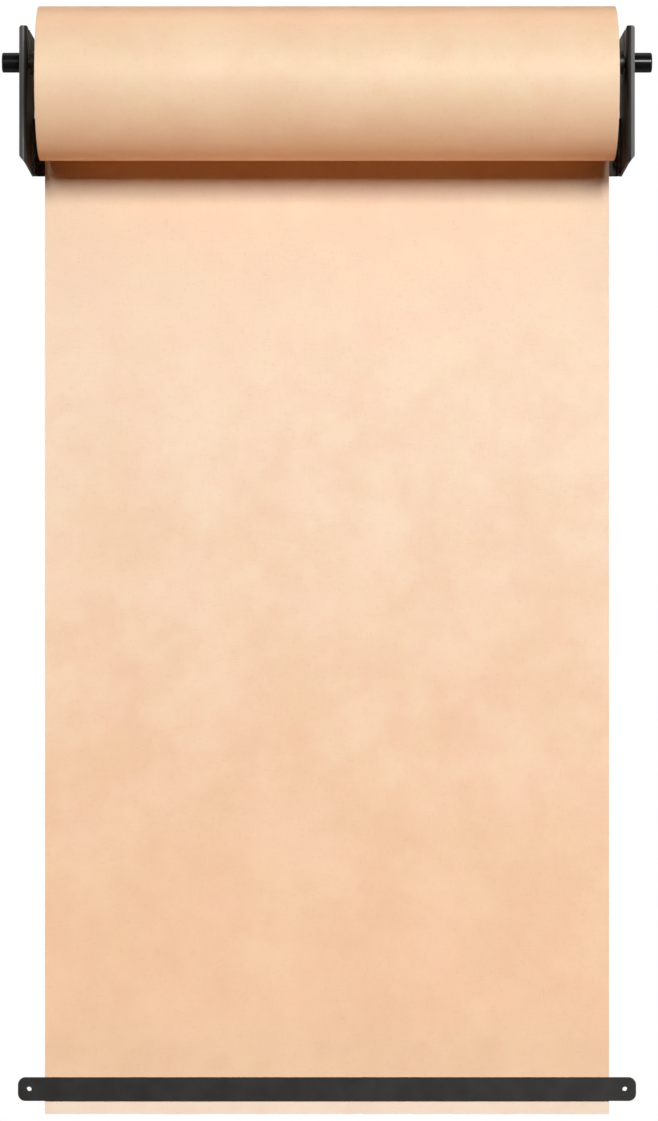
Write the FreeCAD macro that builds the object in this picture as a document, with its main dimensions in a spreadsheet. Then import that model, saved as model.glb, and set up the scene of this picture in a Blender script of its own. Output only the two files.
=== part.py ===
import FreeCAD, Part
import math
import os
import re
import Sketcher

# Wall-mounted wrapping paper dispenser with a tear bar.
# Frame: X across the wall, Y = 0 is the wall and the front looks along -Y, Z up.
# The origin is the middle of the four wall holes of the back rail, on the wall.

os.makedirs("parts", exist_ok=True)
doc = FreeCAD.newDocument("paper_cutter")

# Driving dimensions in millimetres: (alias, value, what it is)
SIZES = [
    ("sheet_width", 610.0, "width of the paper"),
    ("sheet_gauge", 0.4, "thickness of the solid that stands for the hanging paper"),
    ("roll_diameter", 163.0, "outer diameter of the wound paper"),
    ("core_bore", 70.0, "bore of the cardboard core"),
    ("core_wall", 4.0, "wall of the cardboard core"),
    ("winding_gap", 0.05, "radial gap between the core and the first turn"),
    ("contact_gap", 0.3, "gap left where two moving faces touch"),
    ("tail_length", 15.0, "paper that hangs below the tear bar"),
    ("end_strip", 60.0, "height of the last strip of the paper, from its cut edge up"),
    ("spindle_diameter", 25.0, "outer diameter of the spindle tube"),
    ("spindle_wall", 1.5, "wall of the spindle tube"),
    ("spindle_end_play", 2.0, "gap from the spindle tube to a side plate"),
    ("plug_depth", 22.0, "how far a plug goes into the spindle tube"),
    ("plug_fit", 0.05, "radial gap between a plug and the tube"),
    ("neck_diameter", 12.0, "neck that lies in the slot of a side plate"),
    ("stud_diameter", 6.0, "stud that the knob is screwed on"),
    ("stud_length", 14.0, "length of that stud"),
    ("thread_gap", 0.05, "radial gap that stands for a thread"),
    ("knob_diameter", 21.0, "outer diameter of a knob"),
    ("knob_length", 25.0, "length of a knob"),
    ("knob_play", 0.5, "gap from a knob to its side plate"),
    ("knob_bore_depth", 15.0, "depth of the threaded bore in a knob"),
    ("knob_rounding", 1.6, "rounding of the outer edge of a knob"),
    ("knob_bevel", 0.6, "bevel of the inner edge of a knob"),
    ("metal_gauge", 2.5, "thickness of the bent sheet metal"),
    ("bend_radius", 2.0, "inner radius of its bends"),
    ("roll_end_play", 11.5, "gap from an end of the roll to a side plate"),
    ("plate_ahead", 28.5, "from the axis of the spindle to the front face of the flange"),
    ("plate_height", 148.5, "height of a side plate at the wall"),
    ("plate_foot_rise", 4.0, "how much higher its lower edge is in front"),
    ("flange_width", 8.0, "from the inner face of the plate to the edge of its flange"),
    ("flange_foot_cut", 7.0, "how far up its lower corner is cut off"),
    ("flange_rounding", 3.0, "rounding of the two corners of the flange"),
    ("axis_drop", 36.0, "from the top of the plate down to the axis of the spindle"),
    ("rail_height", 60.0, "height of the back rail"),
    ("tab_depth", 28.0, "how far the tabs of the rail stand out from the wall"),
    ("wall_hole", 5.5, "diameter of the screw holes to the wall"),
    ("wall_hole_across", 500.0, "spacing of the wall holes across"),
    ("wall_hole_up", 36.0, "spacing of the wall holes up"),
    ("screw_diameter", 5.0, "shank of the screws through the side plates"),
    ("screw_length", 10.0, "length of that shank"),
    ("screw_head", 9.5, "diameter of the head"),
    ("screw_head_height", 2.75, "height of the head"),
    ("screw_rim", 0.8, "straight rim of the head under its dome"),
    ("socket_across", 3.0, "hexagon socket of the head, across flats"),
    ("socket_depth", 1.6, "depth of the socket"),
    ("screw_clearance", 0.25, "radial clearance of the screw in plate and tab"),
    ("screw_setback", 16.0, "from the wall to the axis of a screw"),
    ("screw_pitch", 30.0, "from the lower to the upper screw"),
    ("nut_across", 8.0, "nut, across flats"),
    ("nut_height", 4.0, "height of a nut"),
    ("bar_height", 25.5, "height of the tear bar"),
    ("bar_gauge", 3.0, "thickness of the tear bar"),
    ("bar_corner", 8.0, "radius of its four corners"),
    ("bar_edge", 0.6, "bevel round its front face"),
    ("bar_hole_clear", 17.0, "from the edge of the paper to a hole of the bar"),
    ("bar_hole_inset", 12.0, "from that hole to the end of the bar"),
    ("bar_drop", 1017.0, "from the middle of the rail down to the middle of the bar"),
    ("spacer_diameter", 14.0, "outer diameter of a bar spacer"),
    ("spacer_height", 5.0, "from the wall to the back of the bar"),
    ("overrun", 5.0, "how far a cut runs past what it cuts"),
]

sheet = doc.addObject("Spreadsheet::Sheet", "Sizes")
for row, (alias, value, meaning) in enumerate(SIZES, start=1):
    sheet.set("A%d" % row, alias)
    sheet.set("B%d" % row, "%g" % value)
    sheet.set("C%d" % row, meaning)
    sheet.setAlias("B%d" % row, alias)
doc.recompute()

# Sizes that follow from the driving ones: (alias, formula, what it is)
DERIVED = [
    ("plate_inside", "sheet_width / 2 + roll_end_play", "inner face of a side plate"),
    ("plate_outside", "plate_inside + metal_gauge", "outer face of a side plate"),
    ("bend_outer", "bend_radius + metal_gauge", "outer radius of a bend"),
    ("tab_inside", "plate_inside - metal_gauge", "inner face of a tab of the rail"),
    ("web_front", "spacer_height - contact_gap", "front face of the hanging paper"),
    ("roll_depth", "web_front + contact_gap + roll_diameter / 2", "axis of the roll from the wall"),
    ("plate_depth", "roll_depth + plate_ahead", "from the wall to the front face of the flange"),
    ("plate_foot", "-rail_height / 2", "lower edge of the plates and of the rail"),
    ("flange_foot", "plate_foot_rise * (plate_depth - bend_outer) / plate_depth",
     "how far the foot has risen where the bend of the flange starts"),
    ("seat_up", "plate_height - axis_drop", "axis of the spindle above that lower edge"),
    ("spindle_up", "plate_foot + seat_up", "axis of the spindle"),
    ("hang", "(core_bore - spindle_diameter) / 2 - contact_gap", "roll axis below the spindle axis"),
    ("roll_up", "spindle_up - hang", "axis of the roll"),
    ("spindle_end", "plate_inside - spindle_end_play", "end face of the spindle tube"),
    ("neck_length", "spindle_end_play + metal_gauge + knob_play", "length of the neck"),
    ("slot_width", "neck_diameter + 2 * contact_gap", "width of the slot for the neck"),
    ("core_outside", "core_bore + 2 * core_wall", "outer diameter of the core"),
    ("dome_height", "screw_head_height - screw_rim", "height of the dome of a screw head"),
    ("dome_radius", "(screw_head ^ 2 / 4 + dome_height ^ 2) / (2 * dome_height)", "radius of that dome"),
    ("bar_hole_at", "sheet_width / 2 + bar_hole_clear", "a hole of the bar from its middle"),
    ("bar_half", "bar_hole_at + bar_hole_inset", "half the length of the tear bar"),
    ("sheet_foot", "-bar_drop - bar_height / 2 - tail_length", "cut edge of the paper"),
    ("strip_top", "sheet_foot + end_strip", "upper edge of the last strip of the paper"),
]
for row, (alias, formula, meaning) in enumerate(DERIVED, start=len(SIZES) + 1):
    sheet.set("A%d" % row, alias)
    sheet.set("B%d" % row, "=" + formula)
    sheet.set("C%d" % row, meaning)
    sheet.setAlias("B%d" % row, alias)
    doc.recompute()


# Helpers that draw with formulas, so that every size stays bound to the sheet


def value(formula):
    """What a formula of named sizes gives now."""
    return float(sheet.evalExpression(formula))


def linked(formula):
    """The formula with each named size written as a cell of the sheet."""
    names = sorted((row[0] for row in SIZES + DERIVED), key=len, reverse=True)
    pattern = r"\b(" + "|".join(names) + r")\b"
    return re.sub(pattern, r"Sizes.\1", formula)


def bind(item, prop, formula):
    """Tie one property of an object to a formula."""
    item.setExpression(prop, linked(formula))


def place(item, across="0", forward="0", up="0"):
    """Put an object at a point given as formulas."""
    bind(item, "Placement.Base.x", across)
    bind(item, "Placement.Base.y", forward)
    bind(item, "Placement.Base.z", up)


def new_body(label):
    """An empty body that carries the name of its sub-part."""
    body = doc.addObject("PartDesign::Body", label)
    body.Label = label
    return body


def new_sketch(body, plane, name):
    """A sketch on one of the body's own origin planes."""
    sketch = body.newObject("Sketcher::SketchObject", name)
    support = [item for item in body.Origin.OriginFeatures if item.Role == plane][0]
    sketch.AttachmentSupport = [(support, "")]
    sketch.MapMode = "FlatFace"
    return sketch


def fix_point(sketch, number, end, across, up):
    """Hold one point of a sketch at two formulas."""
    for kind, formula in (("DistanceX", across), ("DistanceY", up)):
        limit = Sketcher.Constraint(kind, -1, 1, number, end, value(formula))
        bind(sketch, "Constraints[%d]" % sketch.addConstraint(limit), formula)


def draw_outline(sketch, corners):
    """Close a line through the corners. A corner with a centre starts an arc, clockwise if it says so."""
    count = len(corners)
    edges = []
    for index, corner in enumerate(corners):
        here = FreeCAD.Vector(value(corner[0]), value(corner[1]), 0)
        after = corners[(index + 1) % count]
        there = FreeCAD.Vector(value(after[0]), value(after[1]), 0)
        if len(corner) == 2:
            edges.append((sketch.addGeometry(Part.LineSegment(here, there), False), 1, 2))
            continue
        centre = FreeCAD.Vector(value(corner[2]), value(corner[3]), 0)
        clockwise = corner[4] == "clockwise"
        low, high = (there, here) if clockwise else (here, there)
        circle = Part.Circle(centre, FreeCAD.Vector(0, 0, 1), (here - centre).Length)
        start = math.atan2(low.y - centre.y, low.x - centre.x)
        stop = math.atan2(high.y - centre.y, high.x - centre.x)
        arc = Part.ArcOfCircle(circle, start, stop)
        ends = (2, 1) if clockwise else (1, 2)
        edges.append((sketch.addGeometry(arc, False),) + ends)
    for index, (number, start, stop) in enumerate(edges):
        following = edges[(index + 1) % count]
        meet = Sketcher.Constraint("Coincident", number, stop, following[0], following[1])
        sketch.addConstraint(meet)
        corner = corners[index]
        fix_point(sketch, number, start, corner[0], corner[1])
        if len(corner) > 2:
            after = corners[(index + 1) % count]
            across = abs(value(after[0]) - value(corner[0]))
            up = abs(value(after[1]) - value(corner[1]))
            kind, formula = ("DistanceY", corner[3]) if across > up else ("DistanceX", corner[2])
            middle = Sketcher.Constraint(kind, -1, 1, number, 3, value(formula))
            bind(sketch, "Constraints[%d]" % sketch.addConstraint(middle), formula)


def draw_circle(sketch, across, up, diameter):
    """A circle about a point, all given as formulas."""
    centre = FreeCAD.Vector(value(across), value(up), 0)
    circle = Part.Circle(centre, FreeCAD.Vector(0, 0, 1), value(diameter) / 2)
    number = sketch.addGeometry(circle, False)
    fix_point(sketch, number, 3, across, up)
    limit = Sketcher.Constraint("Diameter", number, value(diameter))
    bind(sketch, "Constraints[%d]" % sketch.addConstraint(limit), diameter)


def draw_hexagon(sketch, across_flats):
    """A regular hexagon about the origin with flats above and below."""
    point = "(%s) / sqrt(3)" % across_flats
    flat = "(%s) / 2" % across_flats
    draw_outline(sketch, [
        (point, "0"),
        (point + " / 2", flat),
        ("-" + point + " / 2", flat),
        ("-" + point, "0"),
        ("-" + point + " / 2", "-" + flat),
        (point + " / 2", "-" + flat),
    ])


def pad(body, sketch, length, both_ways=False):
    """Pad a sketch along its normal, or half each way."""
    feature = body.newObject("PartDesign::Pad", sketch.Name + "_pad")
    feature.Profile = sketch
    bind(feature, "Length", length)
    if both_ways:
        feature.SideType = "Symmetric"
    doc.recompute()
    return feature


def cut_through(body, sketch):
    """Cut a sketch through the whole body, both ways, and prove that it removed something."""
    before = body.Shape.Volume
    feature = body.newObject("PartDesign::Pocket", sketch.Name + "_cut")
    feature.Profile = sketch
    feature.Type = "ThroughAll"
    feature.SideType = "Symmetric"
    doc.recompute()
    if not body.Shape.Volume < before:
        raise RuntimeError("%s cuts nothing" % feature.Name)
    return feature


def revolve(body, sketch):
    """Turn a half outline about the X axis of its sketch."""
    feature = body.newObject("PartDesign::Revolution", sketch.Name + "_turned")
    feature.Profile = sketch
    feature.ReferenceAxis = (sketch, ["H_Axis"])
    doc.recompute()
    return feature


def turned_body(label, corners):
    """A body turned about X from a half outline."""
    body = new_body(label)
    sketch = new_sketch(body, "XY_Plane", label + "_outline")
    draw_outline(sketch, corners)
    revolve(body, sketch)
    return body


def ring_body(label, bore, outside, length):
    """A tube about X, centred on the middle of its length."""
    body = new_body(label)
    sketch = new_sketch(body, "YZ_Plane", label + "_section")
    draw_circle(sketch, "0", "0", outside)
    draw_circle(sketch, "0", "0", bore)
    pad(body, sketch, length, both_ways=True)
    return body


def repeat_at_tabs(body, features):
    """Repeat features at the upper screw and, mirrored, at the other side plate."""
    origin = {item.Role: item for item in body.Origin.OriginFeatures}
    step = body.newObject("PartDesign::LinearPattern", body.Name + "_upper")
    step.Originals = features
    step.Direction = (origin["Z_Axis"], [""])
    step.Occurrences = 2
    bind(step, "Length", "screw_pitch")
    body.Tip = step
    doc.recompute()
    twin = body.newObject("PartDesign::Mirrored", body.Name + "_other_side")
    twin.TransformMode = "Whole shape"
    twin.MirrorPlane = (origin["YZ_Plane"], [""])
    body.Tip = twin
    doc.recompute()


# Back rail: a strip on the wall whose ends are bent forward into tabs


def make_back_rail():
    """Strip with a bent tab at each end, wall holes and screw holes."""
    body = new_body("back_rail")
    strip = new_sketch(body, "XY_Plane", "rail_section")
    draw_outline(strip, [
        ("-(plate_inside - bend_outer)", "0"),
        ("plate_inside - bend_outer", "0", "plate_inside - bend_outer", "-bend_outer", "clockwise"),
        ("plate_inside", "-bend_outer"),
        ("plate_inside", "-tab_depth"),
        ("tab_inside", "-tab_depth"),
        ("tab_inside", "-bend_outer", "plate_inside - bend_outer", "-bend_outer", "anticlockwise"),
        ("plate_inside - bend_outer", "-metal_gauge"),
        ("-(plate_inside - bend_outer)", "-metal_gauge", "-(plate_inside - bend_outer)", "-bend_outer",
         "anticlockwise"),
        ("-tab_inside", "-bend_outer"),
        ("-tab_inside", "-tab_depth"),
        ("-plate_inside", "-tab_depth"),
        ("-plate_inside", "-bend_outer", "-(plate_inside - bend_outer)", "-bend_outer", "clockwise"),
    ])
    pad(body, strip, "rail_height", both_ways=True)
    holes = new_sketch(body, "XZ_Plane", "rail_wall_holes")
    for side in ("-", ""):
        for level in ("-", ""):
            draw_circle(holes, side + "wall_hole_across / 2", level + "wall_hole_up / 2", "wall_hole")
    cut_through(body, holes)
    tabs = new_sketch(body, "YZ_Plane", "rail_screw_holes")
    for level in ("-", ""):
        draw_circle(tabs, "-screw_setback", level + "screw_pitch / 2", "screw_diameter + 2 * screw_clearance")
    cut_through(body, tabs)
    return body


# Side plates: bent sheet, its front edge turned outwards, with an open slot for the neck of the spindle


def make_right_side_plate():
    """Plate with its flange, sloping foot, cut flange corner, slot and screw holes."""
    body = new_body("right_side_plate")
    place(body, "plate_inside", "0", "plate_foot")
    section = new_sketch(body, "XY_Plane", "plate_section")
    draw_outline(section, [
        ("0", "0"),
        ("metal_gauge", "0"),
        ("metal_gauge", "-(plate_depth - bend_outer)", "bend_outer", "-(plate_depth - bend_outer)",
         "anticlockwise"),
        ("bend_outer", "-(plate_depth - metal_gauge)"),
        ("flange_width", "-(plate_depth - metal_gauge)"),
        ("flange_width", "-plate_depth"),
        ("bend_outer", "-plate_depth", "bend_outer", "-(plate_depth - bend_outer)", "clockwise"),
        ("0", "-(plate_depth - bend_outer)"),
    ])
    pad(body, section, "plate_height")
    foot = new_sketch(body, "YZ_Plane", "plate_foot_slope")
    reach = "-(plate_depth + overrun)"
    draw_outline(foot, [
        ("0", "0"),
        (reach, "plate_foot_rise * (plate_depth + overrun) / plate_depth"),
        (reach, "-overrun"),
        ("0", "-overrun"),
    ])
    cut_through(body, foot)
    corner = new_sketch(body, "XZ_Plane", "flange_foot_corner")
    draw_outline(corner, [
        ("metal_gauge", "flange_foot"),
        ("flange_width", "flange_foot + flange_foot_cut"),
        ("flange_width + overrun", "flange_foot + flange_foot_cut"),
        ("flange_width + overrun", "-overrun"),
        ("metal_gauge", "-overrun"),
    ])
    cut_through(body, corner)
    slot = new_sketch(body, "YZ_Plane", "plate_slot")
    front = "-(roll_depth + slot_width / 2)"
    back = "-(roll_depth - slot_width / 2)"
    draw_outline(slot, [
        (front, "seat_up", "-roll_depth", "seat_up", "anticlockwise"),
        (back, "seat_up"),
        (back, "plate_height + overrun"),
        (front, "plate_height + overrun"),
    ])
    cut_through(body, slot)
    holes = new_sketch(body, "YZ_Plane", "plate_screw_holes")
    for level in ("-", "+"):
        draw_circle(holes, "-screw_setback", "rail_height / 2 %s screw_pitch / 2" % level,
                    "screw_diameter + 2 * screw_clearance")
    cut_through(body, holes)
    round_flange(body)
    return body


def round_flange(body):
    """Round the two outer corners of the flange."""
    shape = body.Shape
    edge_of_flange = value("flange_width + plate_inside")
    corners = []
    for number, edge in enumerate(shape.Edges, start=1):
        middle = edge.CenterOfMass
        along_depth = abs(edge.BoundBox.YLength - value("metal_gauge")) < NEAR
        if along_depth and abs(middle.x - edge_of_flange) < NEAR:
            corners.append("Edge%d" % number)
    if len(corners) != 2:
        raise RuntimeError("the flange has %d corners" % len(corners))
    flanged = body.Tip
    rounding = body.newObject("PartDesign::Fillet", "flange_rounding")
    rounding.Base = (flanged, corners)
    bind(rounding, "Radius", "flange_rounding")
    doc.recompute()


def make_left_side_plate(right_plate):
    """The mirror image of the right plate."""
    twin = doc.addObject("Part::Mirroring", "left_side_plate")
    twin.Label = "left_side_plate"
    twin.Source = right_plate
    twin.Normal = FreeCAD.Vector(1, 0, 0)
    doc.recompute()
    return twin


# Screws and nuts that hold the side plates to the tabs of the rail


def make_side_plate_screws():
    """Four button-head screws, heads outside."""
    under_head = "plate_outside"
    tip = "plate_outside - screw_length"
    rim = "plate_outside + screw_rim"
    top = "plate_outside + screw_head_height"
    body = new_body("side_plate_screws")
    place(body, "0", "-screw_setback", "-screw_pitch / 2")
    outline = new_sketch(body, "XY_Plane", "screw_outline")
    draw_outline(outline, [
        (tip, "0"),
        (tip, "screw_diameter / 2"),
        (under_head, "screw_diameter / 2"),
        (under_head, "screw_head / 2"),
        (rim, "screw_head / 2", top + " - dome_radius", "0", "clockwise"),
        (top, "0"),
    ])
    turned = revolve(body, outline)
    socket = new_sketch(body, "YZ_Plane", "screw_socket")
    bind(socket, "AttachmentOffset.Base.z", top)
    draw_hexagon(socket, "socket_across")
    before = body.Shape.Volume
    recess = body.newObject("PartDesign::Pocket", "screw_socket_cut")
    recess.Profile = socket
    bind(recess, "Length", "socket_depth")
    doc.recompute()
    if not body.Shape.Volume < before:
        raise RuntimeError("the socket cuts nothing")
    repeat_at_tabs(body, [turned, recess])
    return body


def make_side_plate_nuts():
    """Four hexagon nuts against the inner faces of the tabs."""
    body = new_body("side_plate_nuts")
    place(body, "0", "-screw_setback", "-screw_pitch / 2")
    section = new_sketch(body, "YZ_Plane", "nut_section")
    bind(section, "AttachmentOffset.Base.z", "tab_inside - nut_height")
    draw_hexagon(section, "nut_across")
    draw_circle(section, "0", "0", "screw_diameter + 2 * thread_gap")
    repeat_at_tabs(body, [pad(body, section, "nut_height")])
    return body


# Tear bar and its spacers, on the wall below


def make_tear_bar():
    """Flat bar with rounded corners, a hole at each end and a bevelled front."""
    body = new_body("tear_bar")
    place(body, "0", "-spacer_height", "-bar_drop")
    face = new_sketch(body, "XZ_Plane", "bar_face")
    near = "bar_half - bar_corner"
    low = "bar_height / 2 - bar_corner"
    draw_outline(face, [
        ("-(%s)" % near, "-bar_height / 2"),
        (near, "-bar_height / 2", near, "-(%s)" % low, "anticlockwise"),
        ("bar_half", "-(%s)" % low),
        ("bar_half", low, near, low, "anticlockwise"),
        (near, "bar_height / 2"),
        ("-(%s)" % near, "bar_height / 2", "-(%s)" % near, low, "anticlockwise"),
        ("-bar_half", low),
        ("-bar_half", "-(%s)" % low, "-(%s)" % near, "-(%s)" % low, "anticlockwise"),
    ])
    for side in ("-", ""):
        draw_circle(face, side + "bar_hole_at", "0", "wall_hole")
    plate = pad(body, face, "bar_gauge")
    front = value("-spacer_height - bar_gauge")
    rim = []
    for number, edge in enumerate(body.Shape.Edges, start=1):
        box = edge.BoundBox
        on_front = abs(box.YMin - front) < NEAR and abs(box.YMax - front) < NEAR
        if on_front and abs(edge.Length - value("wall_hole") * math.pi) > NEAR:
            rim.append("Edge%d" % number)
    bevel = body.newObject("PartDesign::Chamfer", "bar_bevel")
    bevel.Base = (plate, rim)
    bind(bevel, "Size", "bar_edge")
    doc.recompute()
    return body


def make_bar_spacers():
    """Two round spacers between the wall and the bar."""
    body = new_body("bar_spacers")
    place(body, "0", "0", "-bar_drop")
    faces = new_sketch(body, "XZ_Plane", "spacer_faces")
    for side in ("-", ""):
        draw_circle(faces, side + "bar_hole_at", "0", "spacer_diameter")
        draw_circle(faces, side + "bar_hole_at", "0", "wall_hole")
    pad(body, faces, "spacer_height")
    return body


# Spindle: tube, plugs with necks and studs, knobs


def make_spindle_tube():
    """The tube that the core hangs on."""
    body = ring_body("spindle_tube", "spindle_diameter - 2 * spindle_wall", "spindle_diameter", "2 * spindle_end")
    place(body, "0", "-roll_depth", "spindle_up")
    return body


def face_outwards(body, side, across):
    """Put a turned piece on the spindle's axis, pointing away from the middle."""
    place(body, ("" if side == "right" else "-") + "(%s)" % across, "-roll_depth", "spindle_up")
    if side == "left":
        body.Placement.Rotation = FreeCAD.Rotation(FreeCAD.Vector(0, 0, 1), HALF_TURN)


def make_end_plug(side):
    """Plug in the end of the tube, with the neck for the slot and the stud for the knob."""
    plug = "spindle_diameter / 2 - spindle_wall - plug_fit"
    stud_end = "neck_length + stud_length"
    body = turned_body(side + "_end_plug", [
        ("-plug_depth", "0"),
        ("-plug_depth", plug),
        ("0", plug),
        ("0", "neck_diameter / 2"),
        ("neck_length", "neck_diameter / 2"),
        ("neck_length", "stud_diameter / 2"),
        (stud_end, "stud_diameter / 2"),
        (stud_end, "0"),
    ])
    face_outwards(body, side, "spindle_end")
    return body


def make_knob(side):
    """Round knob with a blind bore, screwed on the stud."""
    bore = "stud_diameter / 2 + thread_gap"
    radius = "knob_diameter / 2"
    body = turned_body(side + "_knob", [
        ("0", bore),
        ("0", radius + " - knob_bevel"),
        ("knob_bevel", radius),
        ("knob_length - knob_rounding", radius, "knob_length - knob_rounding", radius + " - knob_rounding",
         "clockwise"),
        ("knob_length", radius + " - knob_rounding"),
        ("knob_length", "0"),
        ("knob_bore_depth", "0"),
        ("knob_bore_depth", bore),
    ])
    face_outwards(body, side, "spindle_end + neck_length")
    return body


# Paper: core, wound roll, hanging web and the strip behind the bar


def make_core_tube():
    """The cardboard core, hanging on the spindle."""
    body = ring_body("core_tube", "core_bore", "core_outside", "sheet_width")
    place(body, "0", "-roll_depth", "roll_up")
    return body


def make_paper_roll():
    """The wound paper round the core."""
    body = ring_body("paper_roll", "core_outside + 2 * winding_gap", "roll_diameter", "sheet_width")
    place(body, "0", "-roll_depth", "roll_up")
    return body


def make_sheet(label, foot, top):
    """A flat stretch of paper hanging in front of the wall."""
    strip = doc.addObject("Part::Box", label)
    strip.Label = label
    bind(strip, "Length", "sheet_width")
    bind(strip, "Width", "sheet_gauge")
    bind(strip, "Height", "%s - (%s)" % (top, foot))
    place(strip, "-sheet_width / 2", "-web_front", foot)
    doc.recompute()
    return strip


NEAR = 1e-6
HALF_TURN = 180

right_plate = make_right_side_plate()
SUB_PARTS = [
    make_back_rail(),
    make_left_side_plate(right_plate),
    right_plate,
    make_side_plate_screws(),
    make_side_plate_nuts(),
    make_tear_bar(),
    make_bar_spacers(),
    make_spindle_tube(),
    make_end_plug("left"),
    make_end_plug("right"),
    make_knob("left"),
    make_knob("right"),
    make_core_tube(),
    make_paper_roll(),
    make_sheet("paper_web", "strip_top", "roll_up"),
    make_sheet("paper_end", "sheet_foot", "strip_top"),
]
doc.recompute()

for item in doc.Objects:
    if "Invalid" in item.State or "Error" in item.State:
        raise RuntimeError("%s failed: %s" % (item.Name, item.State))
for sub_part in SUB_PARTS:
    if sub_part.Shape.isNull() or not sub_part.Shape.isValid():
        raise RuntimeError("%s has no valid shape" % sub_part.Label)
for sub_part in SUB_PARTS:
    box = sub_part.Shape.BoundBox
    sub_part.Shape.exportStep("parts/%s.step" % sub_part.Label)
    print("%-18s solids %d volume %.1f x %.2f %.2f y %.2f %.2f z %.2f %.2f" % (
        sub_part.Label, len(sub_part.Shape.Solids), sub_part.Shape.Volume,
        box.XMin, box.XMax, box.YMin, box.YMax, box.ZMin, box.ZMax))
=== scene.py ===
"""Finish, light and camera for a wall-mounted dispenser of kraft wrapping paper.

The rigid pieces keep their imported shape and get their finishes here. The wound roll, its board core and
the hanging sheet are modelled in this file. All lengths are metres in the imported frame: +X runs to the
right along the roll, +Y into the wall and +Z up.
"""

import logging
import math
from dataclasses import dataclass
from enum import Enum, IntEnum
from typing import Callable

import bmesh
import bpy
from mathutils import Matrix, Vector, noise


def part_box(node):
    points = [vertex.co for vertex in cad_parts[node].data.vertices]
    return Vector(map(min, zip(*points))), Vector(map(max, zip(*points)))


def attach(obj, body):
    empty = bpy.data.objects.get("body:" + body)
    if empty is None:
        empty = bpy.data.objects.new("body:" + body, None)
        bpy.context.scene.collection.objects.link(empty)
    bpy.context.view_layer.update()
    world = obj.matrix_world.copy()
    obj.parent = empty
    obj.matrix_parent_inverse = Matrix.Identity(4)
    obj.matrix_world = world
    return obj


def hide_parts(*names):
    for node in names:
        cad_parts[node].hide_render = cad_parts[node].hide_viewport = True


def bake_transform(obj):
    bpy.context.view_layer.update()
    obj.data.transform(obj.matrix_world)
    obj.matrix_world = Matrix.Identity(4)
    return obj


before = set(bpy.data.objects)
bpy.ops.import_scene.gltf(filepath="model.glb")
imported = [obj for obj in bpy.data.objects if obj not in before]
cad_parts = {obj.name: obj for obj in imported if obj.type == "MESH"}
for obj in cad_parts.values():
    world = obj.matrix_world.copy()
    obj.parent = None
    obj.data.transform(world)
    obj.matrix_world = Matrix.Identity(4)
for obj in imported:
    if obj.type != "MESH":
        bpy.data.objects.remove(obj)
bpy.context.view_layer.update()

logging.basicConfig(level=logging.INFO, format="%(message)s")
log = logging.getLogger("paper_dispenser")

MM = 0.001
FULL_TURN = 2 * math.pi
REST_PLACE = "rest_place"

Colour = tuple[float, float, float]
Place3D = tuple[float, float, float]
Socket = bpy.types.NodeSocket
Source = Socket | float | tuple[float, ...]


class Slot(Enum):
    """The names of the record's material slots for the new pieces, which this script doesn't use."""

    BOARD = "core_board"
    KRAFT = "kraft_paper"


class Body(Enum):
    """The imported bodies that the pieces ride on."""

    SPINDLE = "spindle"
    ROLL = "roll"
    SHEET_END = "sheet_end"


class Place(Enum):
    """Where a finish reads its pattern's coordinates from."""

    OBJECT = "object"
    REST = "rest"


class Band(IntEnum):
    """The material numbers of a turned piece's bands."""

    FACE = 0
    EDGE = 1


Ring = tuple[float, float, Band]
Shift = Callable[[float, float, float], tuple[float, float]]


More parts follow.
